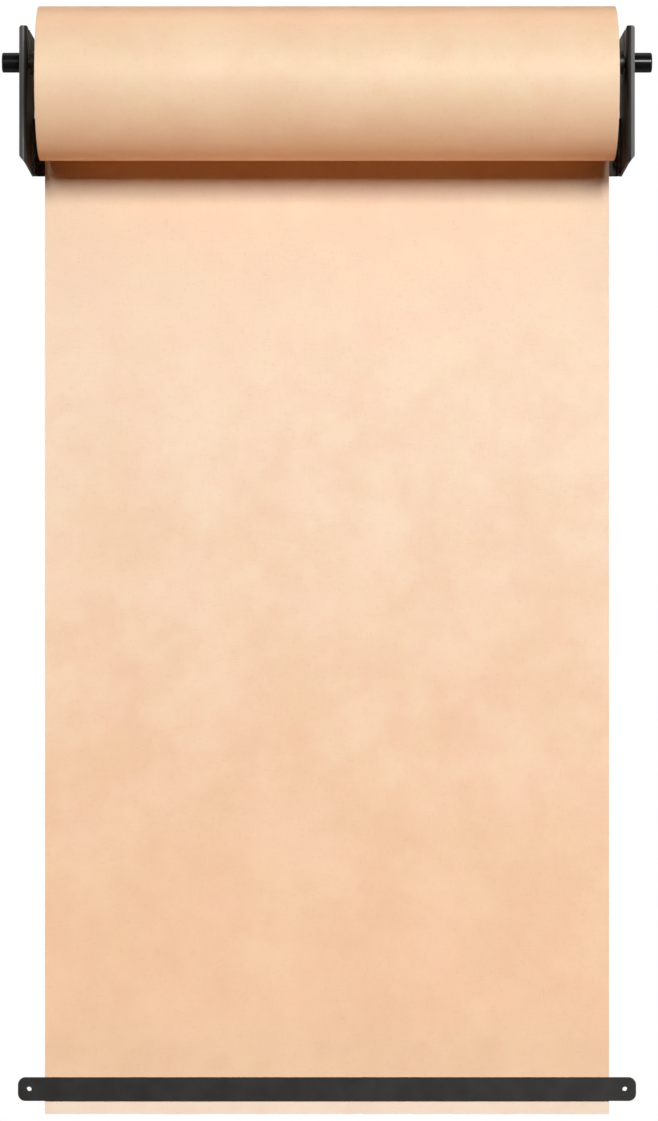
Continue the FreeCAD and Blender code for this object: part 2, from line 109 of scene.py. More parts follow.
class Graph:
    """A shader tree with short methods for its nodes and links."""

    def __init__(self, tree: bpy.types.NodeTree) -> None:
        """Keeps the tree of a material, a world or a node group."""
        self.tree = tree

    def add(self, kind: str, **settings: object) -> bpy.types.Node:
        """Adds a node.

        Args:
            kind: The node's type without the ShaderNode prefix.
            settings: Properties of the node, by name.

        Returns:
            The new node.
        """
        node = self.tree.nodes.new("ShaderNode" + kind)
        for name, value in settings.items():
            setattr(node, name, value)
        return node

    def feed(self, socket: Socket, source: Source) -> None:
        """Links a socket to another one, or sets its value.

        Args:
            socket: The input that is fed.
            source: An output socket, a number or a colour.
        """
        if isinstance(source, Socket):
            self.tree.links.new(source, socket)
        elif isinstance(source, tuple) and len(socket.default_value) == len(source) + 1:
            socket.default_value = (*source, 1.0)
        else:
            socket.default_value = source

    def feed_node(self, node: bpy.types.Node, **sources: Source) -> bpy.types.Node:
        """Feeds a node's inputs.

        Args:
            node: The node.
            sources: What each input gets, by the input's name with _ for a space.

        Returns:
            The node.
        """
        for name, source in sources.items():
            self.feed(node.inputs[name.replace("_", " ")], source)
        return node

    def feed_first(self, node: bpy.types.Node, *sources: Source) -> bpy.types.Node:
        """Feeds a node's first inputs.

        Args:
            node: The node.
            sources: What each input gets, in the inputs' order.

        Returns:
            The node.
        """
        for socket, source in zip(node.inputs, sources):
            self.feed(socket, source)
        return node

    def shade(self, **sources: Source) -> bpy.types.Node:
        """Feeds and returns the material's Principled BSDF, as feed_node does."""
        return self.feed_node(self.tree.nodes["Principled BSDF"], **sources)

    def number(self, operation: str, *sources: Source) -> Socket:
        """Works out one number from up to three by a Math node's operation."""
        return self.feed_first(self.add("Math", operation=operation), *sources).outputs[0]

    def vector(self, operation: str, *sources: Source) -> Socket:
        """Works out a vector, or its length, by a Vector Math node's operation."""
        node = self.feed_first(self.add("VectorMath", operation=operation), *sources)
        return node.outputs["Value" if operation == "LENGTH" else "Vector"]

    def noise(self, place: Socket, scale: Source, detail: float = 2.0, roughness: float = 0.5) -> Socket:
        """Adds a noise pattern.

        Args:
            place: The coordinates that it is read at.
            scale: Features per metre.
            detail: How many finer octaves it has.
            roughness: How strong those octaves are.

        Returns:
            The pattern's value, from 0 to 1 about a half.
        """
        node = self.add("TexNoise")
        self.feed_node(node, Vector=place, Scale=scale, Detail=detail, Roughness=roughness)
        return node.outputs["Fac"]

    def span(self, source: Socket, low: float, high: float, out_low: float = 0.0,
             out_high: float = 1.0) -> Socket:
        """Maps one range of a value smoothly onto another.

        Args:
            source: The value.
            low: Where the range starts.
            high: Where the range ends.
            out_low: The result up to the start.
            out_high: The result from the end.

        Returns:
            The mapped value.
        """
        node = self.add("MapRange", interpolation_type="SMOOTHSTEP")
        self.feed_node(node, Value=source, From_Min=low, From_Max=high, To_Min=out_low, To_Max=out_high)
        return node.outputs["Result"]

    def blend(self, share: Source, first: Source, second: Source, mode: str = "MIX") -> Socket:
        """Blends two colours.

        Args:
            share: How much of the second one shows.
            first: An output socket or a colour.
            second: An output socket or a colour.
            mode: The Mix node's blend type.

        Returns:
            The blended colour.
        """
        # The Mix node has sockets for every kind of data, and these are the ones for colours.
        share_in, first_in, second_in, colour_out = 0, 6, 7, 2
        node = self.add("Mix", data_type="RGBA", blend_type=mode)
        self.feed(node.inputs[share_in], share)
        self.feed(node.inputs[first_in], first)
        self.feed(node.inputs[second_in], second)
        return node.outputs[colour_out]

    def mix(self, share: Socket, first: Socket, second: Socket) -> Socket:
        """Mixes two shaders; the share is how much of the second one shows."""
        return self.feed_first(self.add("MixShader"), share, first, second).outputs[0]

    def bump(self, height: Socket, distance: float, strength: float = 1.0) -> Socket:
        """Turns a height into a normal; the distance is what a height of 1 stands for, in metres."""
        node = self.feed_node(self.add("Bump"), Height=height, Distance=distance, Strength=strength)
        return node.outputs["Normal"]

    def place(self, where: Place = Place.OBJECT) -> Socket:
        """Gives the coordinates that a pattern is read at.

        Args:
            where: The object's own space, or the place that a bending mesh had at rest.

        Returns:
            The socket with the coordinates.
        """
        if where is Place.REST:
            return self.add("Attribute", attribute_name=REST_PLACE).outputs["Vector"]
        return self.add("TexCoord").outputs["Object"]

    def coordinate(self, place: Socket, axis: str) -> Socket:
        """Gives one coordinate of a place or a direction: X, Y or Z."""
        split = self.feed_node(self.add("SeparateXYZ"), Vector=place)
        return split.outputs[axis]

    def reach(self, place: Socket, axis_y: float, axis_z: float) -> Socket:
        """Gives how far a place is from an axis along X."""
        flat = self.vector("MULTIPLY", place, (0.0, 1.0, 1.0))
        return self.vector("LENGTH", self.vector("SUBTRACT", flat, (0.0, axis_y, axis_z)))

    def seen_rays(self, where: Socket, low: float, high: float) -> Socket:
        """Tells the rays that show the white surroundings: the eye's, and reflected ones to the back.

        Args:
            where: A place or a direction.
            low: The Y up to which reflections show nothing of the white.
            high: The Y from which they show all of it.

        Returns:
            How much of the white a ray sees.
        """
        rays = self.add("LightPath").outputs
        bounced = self.number("MAXIMUM", rays["Is Glossy Ray"], rays["Is Transmission Ray"])
        behind = self.number("MULTIPLY", bounced, self.span(self.coordinate(where, "Y"), low, high))
        return self.number("MAXIMUM", rays["Is Camera Ray"], behind)

    def group(self, name: str, **sources: Source) -> dict[str, Socket]:
        """Places a shared effect, feeds its inputs as feed_node does and gives its outputs by name."""
        node = self.feed_node(self.add("Group", node_tree=bpy.data.node_groups[name]), **sources)
        return {socket.name: socket for socket in node.outputs}


class Effect:
    """A shared effect: a node group with named inputs and outputs."""

    def __init__(self, name: str, inputs: dict[str, float | None], outputs: tuple[str, ...]) -> None:
        """Makes the empty group.

        Args:
            name: The group's name.
            inputs: Each input's first value, or None for a vector.
            outputs: The names of the outputs, all plain values.
        """
        self.tree = bpy.data.node_groups.new(name, "ShaderNodeTree")
        for key, value in inputs.items():
            kind = "NodeSocketVector" if value is None else "NodeSocketFloat"
            socket = self.tree.interface.new_socket(name=key, in_out="INPUT", socket_type=kind)
            if value is not None:
                socket.default_value = value
        for key in outputs:
            self.tree.interface.new_socket(name=key, in_out="OUTPUT", socket_type="NodeSocketFloat")
        self.graph = Graph(self.tree)
        self.inputs = self.tree.nodes.new("NodeGroupInput").outputs
        self.results = self.tree.nodes.new("NodeGroupOutput").inputs

    def give(self, **results: Socket) -> None:
        """Feeds the group's outputs, by name."""
        for key, source in results.items():
            self.graph.feed(self.results[key], source)


def make_paper_fibre() -> None:
    """Makes the kraft paper effect: cloudy tone, drifting hue, loose fibres and the surface's height."""
    flecks_per_cloud, hues_per_cloud = 4.5, 2.2
    lying_across, lying_along = (0.16, 1.0, 1.0), (1.0, 0.2, 0.2)
    hue_shift = (3.1, 1.7, 0.4)
    cloud_weight, fleck_weight, tone_offset = 1.1, 0.45, -0.775
    fibre_relief, fleck_relief = 0.7, 0.6
    effect = Effect("paper_fibre", {"Place": None, "Cloud Size": 0.09, "Fibre Size": 0.0012},
                    ("Tone", "Hue", "Fibre", "Height"))
    graph, place = effect.graph, effect.inputs["Place"]
    cloud_scale = graph.number("DIVIDE", 1.0, effect.inputs["Cloud Size"])
    fibre_scale = graph.number("DIVIDE", 1.0, effect.inputs["Fibre Size"])
    fleck_scale = graph.number("MULTIPLY", cloud_scale, flecks_per_cloud)
    hue_scale = graph.number("MULTIPLY", cloud_scale, hues_per_cloud)
    clouds = graph.noise(place, cloud_scale, detail=3.0, roughness=0.55)
    flecks = graph.noise(place, fleck_scale, roughness=0.6)
    across = graph.noise(graph.vector("MULTIPLY", place, lying_across), fibre_scale, detail=1.0)
    along = graph.noise(graph.vector("MULTIPLY", place, lying_along), fibre_scale, detail=1.0)
    hue = graph.noise(graph.vector("ADD", place, hue_shift), hue_scale, detail=1.0)
    fibre = graph.number("SUBTRACT", graph.number("ADD", across, along), 1.0)
    cloudy = graph.number("MULTIPLY_ADD", clouds, cloud_weight, tone_offset)
    rough = graph.number("MULTIPLY", flecks, fleck_relief)
    effect.give(Tone=graph.number("MULTIPLY_ADD", flecks, fleck_weight, cloudy),
                Hue=graph.number("SUBTRACT", hue, 0.5), Fibre=fibre,
                Height=graph.number("MULTIPLY_ADD", fibre, fibre_relief, rough))


def make_coat_grain() -> None:
    """Makes the fine grain of a coat, an oxide or a moulded skin: its height and its patches of gloss."""
    patches_per_grain = 0.03
    effect = Effect("coat_grain", {"Place": None, "Grain Size": 0.0006}, ("Height", "Patch"))
    graph, place = effect.graph, effect.inputs["Place"]
    scale = graph.number("DIVIDE", 1.0, effect.inputs["Grain Size"])
    grain = graph.noise(place, scale, roughness=0.6)
    patch_scale = graph.number("MULTIPLY", scale, patches_per_grain)
    patches = graph.noise(place, patch_scale, detail=3.0, roughness=0.6)
    effect.give(Height=grain, Patch=graph.number("SUBTRACT", patches, 0.5))


def make_settled_dust() -> None:
    """Makes the thin dust on faces that look up: a mask that is broken up by a fine pattern."""
    specks_per_metre = 420.0
    effect = Effect("settled_dust", {"Place": None, "Amount": 0.3}, ("Mask",))
    graph = effect.graph
    normal = graph.add("NewGeometry").outputs["Normal"]
    upward = graph.span(graph.coordinate(normal, "Z"), low=0.35, high=1.0)
    specks = graph.noise(effect.inputs["Place"], specks_per_metre, detail=4.0, roughness=0.7)
    broken = graph.span(specks, low=0.35, high=0.75)
    settled = graph.number("MULTIPLY", upward, broken)
    effect.give(Mask=graph.number("MULTIPLY", settled, effect.inputs["Amount"]))


def make_rubbed_edge() -> None:
    """Makes the wear about a place that is rubbed: full close to it and broken up further out."""
    nicks_per_metre, nick_gain, nick_offset = 900.0, 1.6, -0.3
    effect = Effect("rubbed_edge", {"Place": None, "Distance": 0.01, "Reach": 0.004}, ("Mask",))
    graph = effect.graph
    nicks = graph.noise(effect.inputs["Place"], nicks_per_metre, detail=3.0, roughness=0.65)
    ragged = graph.number("MULTIPLY_ADD", nicks, nick_gain, nick_offset)
    reach = graph.number("MULTIPLY", effect.inputs["Reach"], ragged)
    gap = graph.number("SUBTRACT", reach, effect.inputs["Distance"])
    share = graph.number("DIVIDE", gap, effect.inputs["Reach"])
    effect.give(Mask=graph.span(share, low=0.0, high=0.5))


def make_effects() -> None:
    """Makes the shared effects, each once."""
    for make in (make_paper_fibre, make_coat_grain, make_settled_dust, make_rubbed_edge):
        make()


@dataclass(frozen=True)
class Finish:
    """A finish that is built as one material."""

    name: str
    colour: Colour
    roughness: float

    def material(self) -> bpy.types.Material:
        """Gives the finish's material, built the first time.

        Returns:
            The material.
        """
        if self.name not in bpy.data.materials:
            material = bpy.data.materials.new(self.name)
            material.use_nodes = True
            material.diffuse_color = (*self.colour, 1.0)
            self.fill(Graph(material.node_tree))
        return bpy.data.materials[self.name]

    def fill(self, graph: Graph) -> None:
        """Adds the finish's nodes to its graph; each kind of finish has its own."""
        raise NotImplementedError


@dataclass(frozen=True)
class BlackCoat(Finish):
    """A black coat, oxide or skin: fine grain, patches of gloss and a little dust."""

    grain_size: float = 0.6 * MM
    grain_depth: float = 0.02 * MM
    patchiness: float = 0.12
    gloss: float = 0.5
    dust: float = 0.10
    metallic: float = 0.0
    dust_colour: Colour = (0.32, 0.29, 0.26)
    dust_dulling: float = 0.4
    patch_lift: float = 1.35
    patch_range: float = 0.2

    def fill(self, graph: Graph) -> None:
        """Adds the coat's nodes.

        Args:
            graph: The material's graph.
        """
        place = graph.place()
        grain = graph.group("coat_grain", Place=place, Grain_Size=self.grain_size)
        dust = graph.group("settled_dust", Place=place, Amount=self.dust)["Mask"]
        lighter = tuple(self.patch_lift * part for part in self.colour)
        tone = graph.span(grain["Patch"], -self.patch_range, self.patch_range)
        colour = graph.blend(dust, graph.blend(tone, self.colour, lighter), self.dust_colour)
        rough = graph.number("MULTIPLY_ADD", grain["Patch"], self.patchiness, self.roughness)
        colour, metallic = self.wear(graph, place, colour)
        graph.shade(Base_Color=colour, Metallic=metallic, Specular_IOR_Level=self.gloss,
                    Roughness=graph.number("MULTIPLY_ADD", dust, self.dust_dulling, rough),
                    Normal=graph.bump(grain["Height"], self.grain_depth))

    def wear(self, graph: Graph, place: Socket, colour: Socket) -> tuple[Socket, Source]:
        """Gives the colour and how metallic it is; a coat with worn places changes them."""
        return colour, self.metallic


@dataclass(frozen=True)
class RubbedCoat(BlackCoat):
    """A black coat that is worn to bare steel round a line along X, where the rod's neck lies."""

    rub_y: float = 0.0
    rub_z: float = 0.0
    rub_radius: float = 0.0
    rub_reach: float = 2.2 * MM
    steel: Colour = (0.42, 0.41, 0.40)

    def wear(self, graph: Graph, place: Socket, colour: Socket) -> tuple[Socket, Source]:
        """Lets bare steel through round the rubbed line.

        Args:
            graph: The material's graph.
            place: The coordinates of the patterns.
            colour: The coat's colour.

        Returns:
            The colour and how metallic it is.
        """
        gap = graph.number("SUBTRACT", graph.reach(place, self.rub_y, self.rub_z), self.rub_radius)
        rubbed = graph.group("rubbed_edge", Place=place, Distance=gap, Reach=self.rub_reach)["Mask"]
        return graph.blend(rubbed, colour, self.steel), rubbed


@dataclass(frozen=True)
class Tone:
    """A painted light colour that hanging paper turns to, from one height down to another, standing in for
    how the lamps light the sheet.
    """

    colour: Colour
    start: float
    full: float
    unevenness: float = 0.35


@dataclass(frozen=True)
class Kraft(Finish):
    """Kraft paper seen on its face, with painted light colours that can follow each other down a sheet."""

    painted_light_tones: tuple[Tone, ...] = ()
    where: Place = Place.OBJECT
    cloud_shade: Colour = (0.956, 0.928, 0.9)
    cloud_range: float = 0.25
    hue_shade: Colour = (1.0, 0.97, 0.991)
    hue_range: float = 0.15
    strand_shade: Colour = (0.951, 0.93, 0.916)
    strand_range: tuple[float, float] = (0.05, 0.4)
    strand_dulling: float = 0.12
    sheen: float = 0.06
    sheen_roughness: float = 0.4
    relief: float = 0.04 * MM
    relief_strength: float = 0.6

    def fill(self, graph: Graph) -> None:
        """Adds the paper's nodes.

        Args:
            graph: The material's graph.
        """
        place = graph.place(self.where)
        fibre = graph.group("paper_fibre", Place=place)
        colour = self.colour
        # Painted light: the tones lighten the sheet further down to make up for the lamps' falloff, and
        # pale its torn end.
        for tone in self.painted_light_tones:
            up = graph.coordinate(place, "Z")
            height = graph.number("MULTIPLY_ADD", fibre["Tone"], tone.unevenness, up)
            colour = graph.blend(graph.span(height, tone.start, tone.full), colour, tone.colour)
        clouded = graph.span(fibre["Tone"], self.cloud_range, -self.cloud_range)
        hued = graph.span(fibre["Hue"], -self.hue_range, self.hue_range)
        stranded = graph.span(fibre["Fibre"], *self.strand_range)
        colour = graph.blend(clouded, colour, self.cloud_shade, "MULTIPLY")
        colour = graph.blend(hued, colour, self.hue_shade, "MULTIPLY")
        colour = graph.blend(stranded, colour, self.strand_shade, "MULTIPLY")
        rough = graph.number("MULTIPLY_ADD", fibre["Fibre"], self.strand_dulling, self.roughness)
        graph.shade(Base_Color=colour, Roughness=rough, Sheen_Weight=self.sheen,
                    Sheen_Roughness=self.sheen_roughness,
                    Normal=graph.bump(fibre["Height"], self.relief, self.relief_strength))


@dataclass(frozen=True)
class WoundEdge(Finish):
    """The end of something wound: thin turns in light and dark rings about an axis along X."""

    axis_y: float = 0.0
    axis_z: float = 0.0
    turn: float = 0.5 * MM
    bands_per_turn: float = 0.12
    fine_weight: float = 0.6
    band_weight: float = 0.5
    tone_weight: float = 0.3
    ring_range: tuple[float, float] = (0.38, 0.72)
    ring_shade: Colour = (0.68, 0.6, 0.54)
    ring_dulling: float = 0.1
    gloss: float = 0.25
    relief: float = 0.15 * MM
    relief_strength: float = 0.7

    def fill(self, graph: Graph) -> None:
        """Adds the rings.

        Args:
            graph: The material's graph.
        """
        place = graph.place()
        radial = graph.add("CombineXYZ")
        graph.feed(radial.inputs[0], graph.reach(place, self.axis_y, self.axis_z))
        fine = graph.noise(radial.outputs[0], 1.0 / self.turn, roughness=0.6)
        bands = graph.noise(radial.outputs[0], self.bands_per_turn / self.turn, roughness=0.6)
        fibre = graph.group("paper_fibre", Place=place)
        rings = graph.number("MULTIPLY_ADD", bands, self.band_weight,
                             graph.number("MULTIPLY", fine, self.fine_weight))
        marked = graph.number("MULTIPLY_ADD", fibre["Tone"], self.tone_weight, rings)
        ringed = graph.span(marked, *self.ring_range)
        colour = graph.blend(ringed, self.colour, self.ring_shade, "MULTIPLY")
        graph.shade(Base_Color=colour, Specular_IOR_Level=self.gloss,
                    Roughness=graph.number("MULTIPLY_ADD", fine, self.ring_dulling, self.roughness),
                    Normal=graph.bump(fine, self.relief, self.relief_strength))


@dataclass(frozen=True)
class PaintedShadeWall(Finish):
    """Plaster in the roll's shade, a little uneven: its dark grey is painted shade, added to the real
    shadow that the roll casts on it.
    """

    patches_per_metre: float = 30.0
    patch_lift: float = 1.1

    def fill(self, graph: Graph) -> None:
        """Adds the plaster's faint patches.

        Args:
            graph: The material's graph.
        """
        patches = graph.noise(graph.place(), self.patches_per_metre, detail=4.0, roughness=0.6)
        patch = graph.span(patches, low=0.3, high=0.7)
        lighter = tuple(self.patch_lift * part for part in self.colour)
        graph.shade(Base_Color=graph.blend(patch, self.colour, lighter), Roughness=self.roughness)


@dataclass(frozen=True)
class PaleFloor(Finish):
    """A pale floor that shows the soft shadow near the object and turns plain white further out."""

    near: float = 1.5
    far: float = 5.0
    white_share: float = 0.55
    behind: tuple[float, float] = (0.0, 2.0)
    specks_per_metre: float = 60.0
    darkest_speck: float = 0.97

    def fill(self, graph: Graph) -> None:
        """Mixes the lit floor with plain white for what the eye and reflections see.

        Args:
            graph: The material's graph.
        """
        place = graph.place()
        specks = graph.noise(place, self.specks_per_metre, detail=4.0, roughness=0.6)
        soft = graph.span(specks, low=0.3, high=0.7, out_low=self.darkest_speck)
        speckled = graph.blend(soft, (0.0, 0.0, 0.0), self.colour)
        lit = graph.shade(Base_Color=speckled, Roughness=self.roughness)
        flat = graph.vector("MULTIPLY", place, (1.0, 1.0, 0.0))
        outward = graph.span(graph.vector("LENGTH", flat), self.near, self.far, out_low=self.white_share)
        seen = graph.seen_rays(place, *self.behind)
        white = graph.add("Emission").outputs[0]
        lit_or_white = graph.mix(graph.number("MULTIPLY", seen, outward), lit.outputs[0], white)
        underside = graph.add("NewGeometry").outputs["Backfacing"]
        above_only = graph.mix(underside, lit_or_white, graph.add("BsdfTransparent").outputs[0])
        graph.feed(graph.tree.nodes["Material Output"].inputs[0], above_only)


BLACK: Colour = (0.018, 0.0172, 0.0175)
# Painted shade: the sheet's base colour, seen at its top under the roll, is kept darker than the roll's
# paper.
SHEET_PAPER_PAINTED_SHADE: Colour = (0.88, 0.66, 0.475)
PAPER_WOUND: Colour = (0.92, 0.68, 0.465)
# Painted light: lighter down the sheet to make up for the lamps' falloff, and paler at the torn end.
SHEET_PAINTED_LIGHT_TONES = (
    Tone((0.96, 0.73, 0.545), -0.04, -0.24),
    Tone((0.968, 0.643, 0.42), -0.15, -0.90),
    Tone((0.97, 0.80, 0.66), -1.018, -1.034, unevenness=0.0),
)
POWDER = BlackCoat("powder_coat", BLACK, 0.4, grain_size=0.7 * MM, grain_depth=0.015 * MM, gloss=0.45)
OXIDE = BlackCoat("black_oxide", (0.03, 0.03, 0.031), 0.38, grain_size=0.25 * MM, grain_depth=0.004 * MM,
                  metallic=0.4, gloss=0.3, dust=0.05)
GLOSS = BlackCoat("gloss_black_skin", (0.006, 0.006, 0.0065), 0.2, grain_size=2.5 * MM,
                  grain_depth=0.003 * MM, patchiness=0.08, gloss=0.4, dust=0.03)
RUBBER = BlackCoat("matt_rubber", (0.022, 0.022, 0.022), 0.8, grain_size=0.4 * MM, grain_depth=0.03 * MM,
                   gloss=0.3, dust=0.2)
FLOOR = PaleFloor("pale_floor", (0.86, 0.86, 0.86), 0.9)
# Painted shade: the wall that reflections see is dark grey, standing for white plaster in the roll's
# shade.
PAINTED_SHADE_WALL = PaintedShadeWall("painted_shade_wall", (0.2, 0.2, 0.2), 0.9)
SHEET_FACE = Kraft("kraft_sheet_face", SHEET_PAPER_PAINTED_SHADE, 0.5, painted_light_tones=SHEET_PAINTED_LIGHT_TONES, where=Place.REST)
ROLL_FACE = Kraft("kraft_roll_face", PAPER_WOUND, 0.5)
BOARD_FACE = Kraft("core_board_face", (0.42, 0.31, 0.20), 0.8)
ROLL_EDGE: Colour = (0.78, 0.56, 0.38)
BOARD_EDGE: Colour = (0.46, 0.35, 0.24)


def middle_and_size(node: str) -> tuple[Vector, Vector]:
    """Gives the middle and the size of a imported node's box."""
    low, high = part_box(node)
    return (low + high) / 2, high - low


def dress(names: tuple[str, ...], finish: Finish) -> dict[str, str]:
    """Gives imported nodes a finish, in the material slots that they have.

    Args:
        names: The nodes.
        finish: Their finish.

    Returns:
        The finish's name by node.
    """
    for name in names:
        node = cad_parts[name]
        if not node.material_slots:
            node.data.materials.append(None)
        for slot in node.material_slots:
            slot.material = finish.material()
    return {name: finish.name for name in names}


def new_object(name: str, data: bpy.types.ID) -> bpy.types.Object:
    """Makes an object in the scene.

    Args:
        name: Its name.
        data: Its mesh, lamp or camera.

    Returns:
        The object.
    """
    made = bpy.data.objects.new(name, data)
    bpy.context.scene.collection.objects.link(made)
    return made


def new_piece(name: str, mesh: bmesh.types.BMesh, finishes: tuple[Finish, ...]) -> bpy.types.Object:
    """Makes an object from a mesh that was built.

    Args:
        name: The piece's name.
        mesh: The mesh, which is freed.
        finishes: Its finishes in the order of the faces' material numbers.

    Returns:
        The object, linked to the scene.
    """
    bmesh.ops.recalc_face_normals(mesh, faces=mesh.faces)
    data = bpy.data.meshes.new(name)
    mesh.to_mesh(data)
    mesh.free()
    for finish in finishes:
        data.materials.append(finish.material())
    return new_object(name, data)


def spread(first: float, last: float, count: int) -> list[float]:
    """Gives the values from the first to the last, both included, with so many steps between them."""
    return [first + (last - first) * step / count for step in range(count + 1)]


def fill_between(mesh: bmesh.types.BMesh, rows: list[list[bmesh.types.BMVert]]) -> None:
    """Adds the faces between rows of points.

    Args:
        mesh: The mesh that they go into.
        rows: The rows, all of one length.
    """
    for here, after in zip(rows, rows[1:]):
        for step in range(len(here) - 1):
            mesh.faces.new((here[step], here[step + 1], after[step + 1], after[step]))


@dataclass(frozen=True)
class Ripple:
    """A smooth pattern in space, with values between -1 and 1."""

    scale: Place3D
    shift: Place3D = (0.0, 0.0, 0.0)

    def at(self, *place: float) -> float:
        """Gives the pattern's value at a place, whose coordinates are 0 where they are left out."""
        full = zip((*place, 0.0, 0.0), self.scale, self.shift)
        return noise.noise(Vector([part * scale + shift for part, scale, shift in full]))


@dataclass
class TurnedShell:
    """A closed ring shape about an axis along X, built from rings of points."""

    axis_y: float
    axis_z: float
    segments: int

    def build(self, rings: list[Ring], shift: Shift) -> bmesh.types.BMesh:
        """Builds the shape from the rings, which close on themselves.

        Args:
            rings: For each ring its x, its radius and the material number of the band after it.
            shift: Gives what is added to x and to the radius at an x, a radius and an angle.

        Returns:
            The mesh.
        """
        mesh = bmesh.new()
        rows = []
        for x, radius, _ in rings:
            row = []
            for step in range(self.segments):
                angle = FULL_TURN * step / self.segments
                dx, dr = shift(x, radius, angle)
                reach = radius + dr
                row.append(mesh.verts.new((x + dx, self.axis_y + reach * math.cos(angle),
                                           self.axis_z + reach * math.sin(angle))))
            rows.append(row)
        for index, (_, _, band) in enumerate(rings):
            here, after = rows[index], rows[(index + 1) % len(rows)]
            for step in range(self.segments):
                beside = (step + 1) % self.segments
                face = mesh.faces.new((here[step], here[beside], after[beside], after[step]))
                face.material_index = band
                face.smooth = True
        return mesh


@dataclass
class PaperRoll:
    """The wound paper: a smooth outer turn, a slight rounding and end faces that show the turns."""

    node: str = "paper_roll"
    core: str = "core_tube"
    core_gap: float = 0.05 * MM
    segments: int = 144
    bands: int = 60
    end_rings: int = 110
    rim_rings: int = 3
    bore_bands: int = 12
    bore_share: float = 0.98
    turn_pitch: float = 1.5 * MM
    turn_relief: float = 0.35 * MM
    turn_ripple: Ripple = Ripple((1.9, 7.3, 0.0), (0.0, 0.0, 0.4))
    rim: float = 0.6 * MM
    rims_before_straight: int = 3
    swell: float = 0.12 * MM
    swell_ripple: Ripple = Ripple((14.0, 0.8, 0.8))

    def __post_init__(self) -> None:
        """Reads the roll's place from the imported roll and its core."""
        middle, size = middle_and_size(self.node)
        core_low, core_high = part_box(self.core)
        self.half_length = size.x / 2
        self.outer = size.z / 2
        self.inner = (core_high.z - core_low.z) / 2 + self.core_gap
        self.axis = (middle.y, middle.z)

    def unevenness(self, x: float, radius: float, angle: float) -> tuple[float, float]:
        """Gives the small unevenness of the winding.

        Args:
            x: The place along the roll.
            radius: The distance from the axis.
            angle: The angle about the axis.

        Returns:
            What is added to x and to the radius.
        """
        side = math.copysign(1.0, x)
        if abs(x) > self.half_length - self.rim / 2 and radius < self.outer - self.rim:
            share = angle / FULL_TURN
            turn = math.floor((radius - self.inner) / self.turn_pitch - share) + share
            wander = self.turn_ripple.at(turn, side) * 0.5 + 0.5
            return -side * self.turn_relief * wander, 0.0
        if radius > self.outer - self.rim / 2:
            ripple = self.swell_ripple.at(x, math.cos(angle), math.sin(angle))
            return 0.0, -self.swell * (0.5 + 0.5 * ripple)
        return 0.0, 0.0

    def rounded_rim(self, end: float) -> list[Ring]:
        """Lists the rings of a rounded rim, from the end face outwards.

        Args:
            end: The x of the roll's end.

        Returns:
            The rings.
        """
        inward = math.copysign(self.rim, -end)
        rings = []
        for step in range(1, self.rim_rings + 1):
            turn = math.pi / 2 * step / self.rim_rings
            radius = self.outer - self.rim * (1 - math.sin(turn))
            rings.append((end + inward * (1 - math.cos(turn)), radius, Band.FACE))
        return rings

    def rings(self) -> list[Ring]:
        """Lists the rings, from the left bore edge out, along the outside and back through the bore.

        Returns:
            The rings.
        """
        side, face_edge = self.half_length, self.outer - self.rim
        straight, bore = side - self.rims_before_straight * self.rim, side * self.bore_share
        rings = [(-side, radius, Band.EDGE) for radius in spread(self.inner, face_edge, self.end_rings)]
        rings += self.rounded_rim(-side)
        rings += [(x, self.outer, Band.FACE) for x in spread(-straight, straight, self.bands)]
        rings += reversed(self.rounded_rim(side))
        rings += [(side, radius, Band.EDGE) for radius in spread(face_edge, self.inner, self.end_rings)]
        rings += [(x, self.inner, Band.EDGE) for x in spread(bore, -bore, self.bore_bands)]
        return rings

    def make(self) -> bpy.types.Object:
        """Builds the roll and lets it ride on its body.

        Returns:
            The roll.
        """
        edge = WoundEdge("kraft_roll_edge", ROLL_EDGE, 0.75, axis_y=self.axis[0], axis_z=self.axis[1])
        mesh = TurnedShell(*self.axis, self.segments).build(self.rings(), self.unevenness)
        roll = new_piece("wound_paper", mesh, (ROLL_FACE, edge))
        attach(roll, Body.ROLL.value)
        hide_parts(self.node)
        return roll


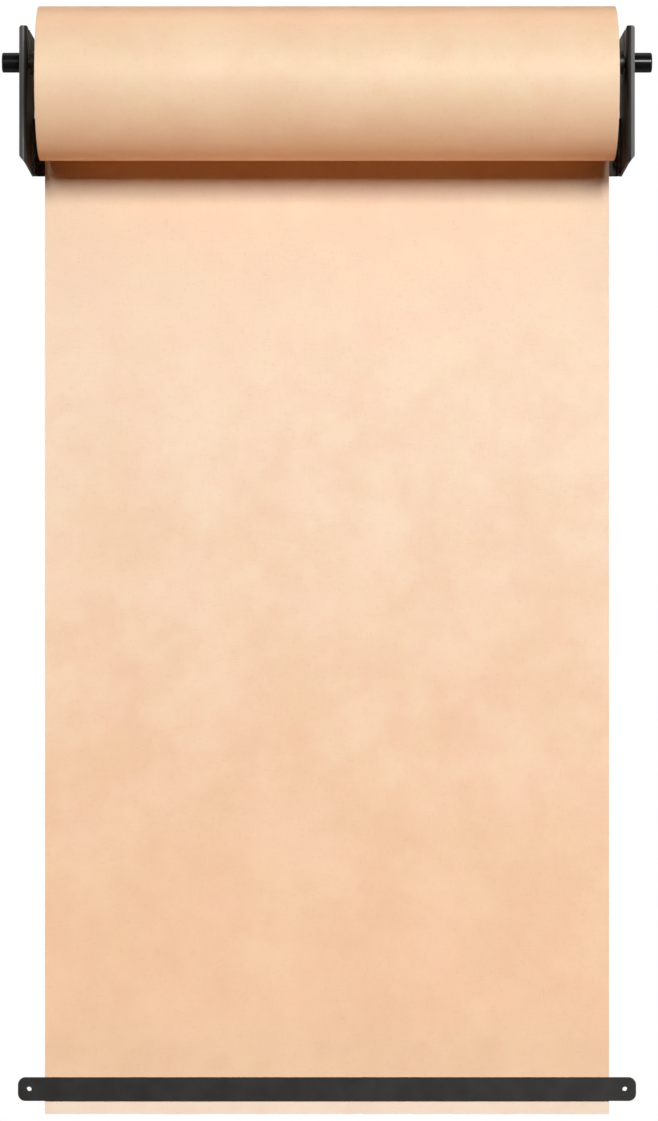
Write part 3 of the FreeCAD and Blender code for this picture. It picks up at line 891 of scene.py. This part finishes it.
@dataclass
class CoreTube:
    """The board tube inside the roll, with the seam of its spiral plies and softened lips."""

    node: str = "core_tube"
    wall: float = 4 * MM
    segments: int = 96
    bands: int = 150
    end_bands: int = 8
    lip: float = 0.5 * MM
    seam_pitch: float = 85 * MM
    seam_share: float = 0.03
    seam_depth: float = 0.25 * MM
    ply: float = 0.8 * MM

    def __post_init__(self) -> None:
        """Reads the tube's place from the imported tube."""
        middle, size = middle_and_size(self.node)
        self.half_length = size.x / 2
        self.outer = size.z / 2
        self.axis = (middle.y, middle.z)

    def seam(self, x: float, radius: float, angle: float) -> tuple[float, float]:
        """Gives the groove of the spiral seam.

        Args:
            x: The place along the tube.
            radius: The distance from the axis.
            angle: The angle about the axis.

        Returns:
            What is added to x and to the radius.
        """
        along = (x / self.seam_pitch + angle / FULL_TURN) % 1.0
        near = min(along, 1.0 - along)
        depth = self.seam_depth * max(0.0, 1.0 - near / self.seam_share)
        middle = self.outer - self.wall / 2
        return 0.0, depth if radius < middle else -depth

    def rings(self) -> list[Ring]:
        """Lists the rings, from the left end outwards, along the outside and back through the bore.

        Returns:
            The rings.
        """
        side, inner = self.half_length, self.outer - self.wall
        straight = side - self.lip
        end_radii = spread(inner + self.lip, self.outer - self.lip, self.end_bands)
        rings = [(-side, radius, Band.EDGE) for radius in end_radii]
        rings += [(x, self.outer, Band.FACE) for x in spread(-straight, straight, self.bands)]
        rings += [(side, radius, Band.EDGE) for radius in reversed(end_radii)]
        rings += [(x, inner, Band.FACE) for x in spread(straight, -straight, self.bands)]
        return rings

    def make(self) -> bpy.types.Object:
        """Builds the tube and lets it ride on its body.

        Returns:
            The tube.
        """
        plies = WoundEdge("core_board_plies", BOARD_EDGE, 0.85, axis_y=self.axis[0],
                          axis_z=self.axis[1], turn=self.ply)
        mesh = TurnedShell(*self.axis, self.segments).build(self.rings(), self.seam)
        tube = new_piece("board_core", mesh, (BOARD_FACE, plies))
        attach(tube, Body.ROLL.value)
        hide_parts(self.node)
        return tube


@dataclass
class HangingSheet:
    """The paper from the roll's back down behind the bar to its torn end."""

    web: str = "paper_web"
    end: str = "paper_end"
    wound: str = "paper_roll"
    thickness: float = 0.22 * MM
    wrap: float = math.radians(12)
    wrap_rows: int = 10
    tucked: float = 0.06 * MM
    rows: int = 230
    columns: int = 122
    settled: float = 60 * MM
    wave: float = 1.1 * MM
    free_after: float = 0.12
    held_share: float = 0.12
    end_freedom: float = 0.1
    slow_ripple: Ripple = Ripple((2.6, 1.6, 0.0), (0.0, 0.0, 0.3))
    fine_ripple: Ripple = Ripple((8.0, 5.5, 0.0), (4.0, 0.0, 1.9))
    wave_weights: tuple[float, float, float] = (0.5, 0.45, 0.2)
    tear: float = 0.5 * MM
    tear_ripple: Ripple = Ripple((160.0, 0.0, 0.0), (0.0, 0.7, 0.2))
    crease: float = math.radians(40)
    blend_margin: float = 40 * MM

    def __post_init__(self) -> None:
        """Reads the sheet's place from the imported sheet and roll."""
        web_low, web_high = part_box(self.web)
        end_low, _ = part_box(self.end)
        middle, size = middle_and_size(self.wound)
        self.half_width = (web_high.x - web_low.x) / 2
        self.front = web_low.y
        self.axis_y, self.axis_z = middle.y, middle.z
        self.radius = size.z / 2
        self.seam = web_low.z
        self.drop = self.axis_z - end_low.z
        self.length = self.drop + self.wrap * self.radius

    def hang(self, x: float, down: float) -> float:
        """Gives how far the sheet stands back from its plane at a place.

        Args:
            x: The place across the sheet.
            down: How far below the roll's axis it is.

        Returns:
            The distance towards the wall.
        """
        rest = max(0.0, 1.0 - down / self.drop)
        free = min(1.0, down / self.free_after) * min(1.0, rest / self.held_share + self.end_freedom)
        steady, slow, fine = self.wave_weights
        waves = steady + slow * self.slow_ripple.at(x, down) + fine * self.fine_ripple.at(x, down)
        return self.wave * free * waves

    def point(self, x: float, row: int, back: bool) -> Vector:
        """Gives a point of the sheet.

        Args:
            x: The place across the sheet.
            row: The row, counted from the end that is wound on the roll and tucked into it.
            back: Whether the point is on the side towards the wall.

        Returns:
            The point.
        """
        if row < self.wrap_rows:
            share = row / self.wrap_rows
            angle = self.wrap * (1 - share)
            reach = self.radius - (self.tucked if row == 0 else 0.0)
            reach += self.thickness * min(1.0, 2 * share) if back else 0.0
            y, z = reach * math.cos(angle), reach * math.sin(angle)
            return Vector((x, self.axis_y + y, self.axis_z + z))
        down = self.drop * (row - self.wrap_rows) / self.rows
        ease = min(1.0, down / self.settled)
        forward = self.front - self.axis_y - self.radius
        plane = self.axis_y + self.radius + forward * ease * ease * (3 - 2 * ease)
        depth = self.hang(x, down) + (self.thickness if back else 0.0)
        torn = 0.0
        if row == self.wrap_rows + self.rows:
            torn = self.tear * self.tear_ripple.at(x) + self.tear
        return Vector((x, plane + depth, self.axis_z - down + torn))

    def build(self) -> bmesh.types.BMesh:
        """Builds the sheet as two faces that are closed along the edges.

        Returns:
            The mesh.
        """
        mesh = bmesh.new()
        across = spread(-self.half_width, self.half_width, self.columns)
        last = self.wrap_rows + self.rows
        front, back = ([[mesh.verts.new(self.point(x, row, side)) for x in across]
                        for row in range(last + 1)] for side in (False, True))
        fill_between(mesh, front)
        fill_between(mesh, back)
        for column in (0, self.columns):
            fill_between(mesh, [[row[column] for row in rows] for rows in (front, back)])
        for row in (0, last):
            fill_between(mesh, [front[row], back[row]])
        for face in mesh.faces:
            face.smooth = True
        return mesh

    def make(self, roll: bpy.types.Object) -> bpy.types.Object:
        """Makes the sheet and keeps each point's place at rest for its pattern.

        Args:
            roll: The wound paper that it hangs from; not used.

        Returns:
            The sheet.
        """
        sheet = new_piece("hanging_sheet", self.build(), (SHEET_FACE,))
        sheet.data.set_sharp_from_angle(angle=self.crease)
        rest = sheet.data.attributes.new(REST_PLACE, "FLOAT_VECTOR", "POINT")
        rest.data.foreach_set("vector", [part for vertex in sheet.data.vertices for part in vertex.co])
        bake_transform(sheet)
        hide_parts(self.web, self.end)
        return sheet


@dataclass
class WallBracket:
    """The rail, the two side plates and what joins them."""

    rail: str = "back_rail"
    plates: tuple[str, str] = ("left_side_plate", "right_side_plate")
    fasteners: tuple[str, str] = ("side_plate_screws", "side_plate_nuts")
    rod: str = "spindle_tube"
    neck_radius: float = 6.2 * MM

    def dress(self) -> dict[str, str]:
        """Gives the bracket its finishes, worn where the rod's neck lies in the slots.

        Returns:
            The finish's name by node.
        """
        middle, _ = middle_and_size(self.rod)
        worn = RubbedCoat("powder_coat_rubbed", BLACK, POWDER.roughness, grain_size=POWDER.grain_size,
                          grain_depth=POWDER.grain_depth, rub_y=middle.y, rub_z=middle.z,
                          rub_radius=self.neck_radius)
        return dress((self.rail,), POWDER) | dress(self.plates, worn) | dress(self.fasteners, OXIDE)


@dataclass
class TearBar:
    """The flat bar that the paper is torn against, on its spacers."""

    bar: str = "tear_bar"
    spacers: str = "bar_spacers"

    def dress(self) -> dict[str, str]:
        """Gives the bar and its spacers their finishes, and returns their names by node."""
        return dress((self.bar,), POWDER) | dress((self.spacers,), RUBBER)


@dataclass
class LiftRod:
    """The rod that carries the roll, with its plugs and knobs."""

    tube: str = "spindle_tube"
    plugs: tuple[str, str] = ("left_end_plug", "right_end_plug")
    knobs: tuple[str, str] = ("left_knob", "right_knob")

    def dress(self) -> dict[str, str]:
        """Gives the rod its finishes, and returns their names by node."""
        return dress((self.tube,), POWDER) | dress(self.plugs, OXIDE) | dress(self.knobs, GLOSS)


@dataclass
class PhotoCamera:
    """The camera at the photograph's viewing angle, looking straight along +Y."""

    width: int = 658
    height: int = 1121
    vanishing_x: float = 327.0
    vanishing_y: float = 566.0
    focal_pixels: float = 4064.7
    distance: float = 4.4
    level: float = -0.4516
    sensor: float = 36.0

    def make(self) -> bpy.types.Object:
        """Makes the camera and gives it to the scene.

        Returns:
            The camera.
        """
        data = bpy.data.cameras.new("photo_camera")
        data.sensor_width = self.sensor
        data.lens = self.focal_pixels * self.sensor / self.height
        data.shift_x = (self.width / 2 - self.vanishing_x) / self.height
        data.shift_y = (self.vanishing_y - self.height / 2) / self.height
        camera = new_object("photo_camera", data)
        camera.location = (0.0, -self.distance, self.level)
        camera.rotation_euler = (math.pi / 2, 0.0, 0.0)
        bpy.context.scene.camera = camera
        return camera


@dataclass(frozen=True)
class SoftBox:
    """A soft rectangular lamp."""

    name: str
    at: Place3D
    aim: Place3D
    width: float
    height: float
    watts: float
    colour: Colour = (1.0, 1.0, 1.0)
    reflected: bool = True

    def make(self) -> bpy.types.Object:
        """Makes the lamp, which itself isn't seen.

        Returns:
            The lamp.
        """
        data = bpy.data.lights.new(self.name, "AREA")
        data.shape = "RECTANGLE"
        data.size = self.width
        data.size_y = self.height
        data.energy = self.watts
        data.color = self.colour
        lamp = new_object(self.name, data)
        lamp.location = self.at
        lamp.rotation_euler = (Vector(self.aim) - Vector(self.at)).to_track_quat("-Z", "Y").to_euler()
        lamp.visible_camera = False
        lamp.visible_glossy = self.reflected
        return lamp


@dataclass
class Studio:
    """The pale floor, the white surroundings and the lamps."""

    floor_level: float = -2.05
    floor_radius: float = 14.0
    floor_rings: int = 24
    floor_segments: int = 64
    ambient: Colour = (0.006, 0.004, 0.003)
    wall_low: tuple[float, float] = (-0.6, -1.3)
    wall_high: tuple[float, float] = (0.6, 0.4)
    wall_gap: float = 3 * MM
    wall_grid: tuple[int, int] = (12, 17)
    behind: tuple[float, float] = (-0.2, 0.3)
    daylight: Colour = (0.98, 0.99, 0.968)
    sheet_middle: Place3D = (0.0, 0.0, -0.4)

    def lamps(self) -> tuple[SoftBox, ...]:
        """Lists the lamps.

        Returns:
            The lamps.
        """
        day, aim = self.daylight, self.sheet_middle
        return (
            SoftBox("key_box", (3.17, -9.18, 2.43), aim, 1.9, 2.57, 520.0, day),
            SoftBox("left_box", (-2.03, -9.52, 2.43), aim, 1.35, 2.57, 335.0, day, reflected=False),
            SoftBox("middle_box", (1.01, -9.72, 2.43), aim, 1.35, 2.57, 235.0, day),
            SoftBox("warm_bounce", (0.0, -0.06, -1.95), (0.0, -0.10, 0.0), 1.2, 0.1, 10.4,
                    (1.0, 0.31, 0.005), reflected=False),
            SoftBox("top_strip", (0.0, 0.9, 2.4), (0.0, -0.1, 0.1), 1.6, 0.5, 16.0, (1.0, 0.38, 0.15)),
            SoftBox("left_fill", (-2.6, 0.5, 0.1), (-0.3, -0.05, -0.1), 1.0, 1.6, 22.0),
            SoftBox("right_fill", (2.6, 0.5, 0.1), (0.3, -0.05, -0.1), 1.0, 1.6, 22.0),
            SoftBox("back_fill", (-1.0, 3.2, 0.9), aim, 1.8, 1.8, 100.0),
        )

    def make_floor(self) -> bpy.types.Object:
        """Builds the floor as a wide disc.

        Returns:
            The floor.
        """
        mesh = bmesh.new()
        centre = mesh.verts.new((0.0, 0.0, self.floor_level))
        angles = [FULL_TURN * step / self.floor_segments for step in range(self.floor_segments)]
        inner = [centre] * self.floor_segments
        for ring in range(1, self.floor_rings + 1):
            radius = self.floor_radius * ring / self.floor_rings
            outer = [mesh.verts.new((radius * math.cos(angle), radius * math.sin(angle), self.floor_level))
                     for angle in angles]
            for step in range(self.floor_segments):
                beside = (step + 1) % self.floor_segments
                corners = [inner[step], outer[step], outer[beside]]
                if ring > 1:
                    corners.append(inner[beside])
                mesh.faces.new(corners)
            inner = outer
        floor = new_piece("pale_floor", mesh, (FLOOR,))
        return floor

    def make_wall(self) -> bpy.types.Object:
        """Builds a piece of wall that only reflections see, so that the gaps beside the roll look dark;
        its dark grey finish is painted shade.

        Returns:
            The wall.
        """
        mesh = bmesh.new()
        (left, low), (right, high), (columns, rows) = self.wall_low, self.wall_high, self.wall_grid
        across, up = spread(left, right, columns), spread(low, high, rows)
        fill_between(mesh, [[mesh.verts.new((x, self.wall_gap, z)) for x in across] for z in up])
        wall = new_piece("wall_behind", mesh, (PAINTED_SHADE_WALL,))
        wall.visible_camera = False
        wall.visible_diffuse = False
        wall.visible_transmission = False
        wall.visible_shadow = False
        return wall

    def make_surroundings(self) -> None:
        """Makes the surroundings: white to the eye and in reflections, a weak warm light otherwise."""
        world = bpy.data.worlds.new("white_studio")
        world.use_nodes = True
        graph = Graph(world.node_tree)
        weak = graph.feed_node(world.node_tree.nodes["Background"], Color=self.ambient)
        plain = graph.feed_node(graph.add("Background"), Color=(1.0, 1.0, 1.0))
        direction = graph.add("TexCoord").outputs["Generated"]
        seen = graph.seen_rays(direction, *self.behind)
        shown = graph.mix(seen, weak.outputs[0], plain.outputs[0])
        graph.feed(world.node_tree.nodes["World Output"].inputs[0], shown)
        bpy.context.scene.world = world

    def make(self) -> list[bpy.types.Object]:
        """Makes the whole studio and gives the floor, the wall and the lamps."""
        self.make_surroundings()
        return [self.make_floor(), self.make_wall(), *(lamp.make() for lamp in self.lamps())]


def main() -> None:
    """Builds the scene in order and reports each piece."""
    camera = PhotoCamera().make()
    make_effects()
    for assembly in (WallBracket(), TearBar(), LiftRod()):
        for name, finish in assembly.dress().items():
            log.info("%s: %s", name, finish)
    core = CoreTube().make()
    roll = PaperRoll().make()
    sheet = HangingSheet().make(roll)
    for piece in (camera, core, roll, sheet, *Studio().make()):
        log.info("%s: %s", piece.name, piece.type.lower())
    bpy.context.scene.view_settings.view_transform = "Standard"


if __name__ == "__main__":
    main()
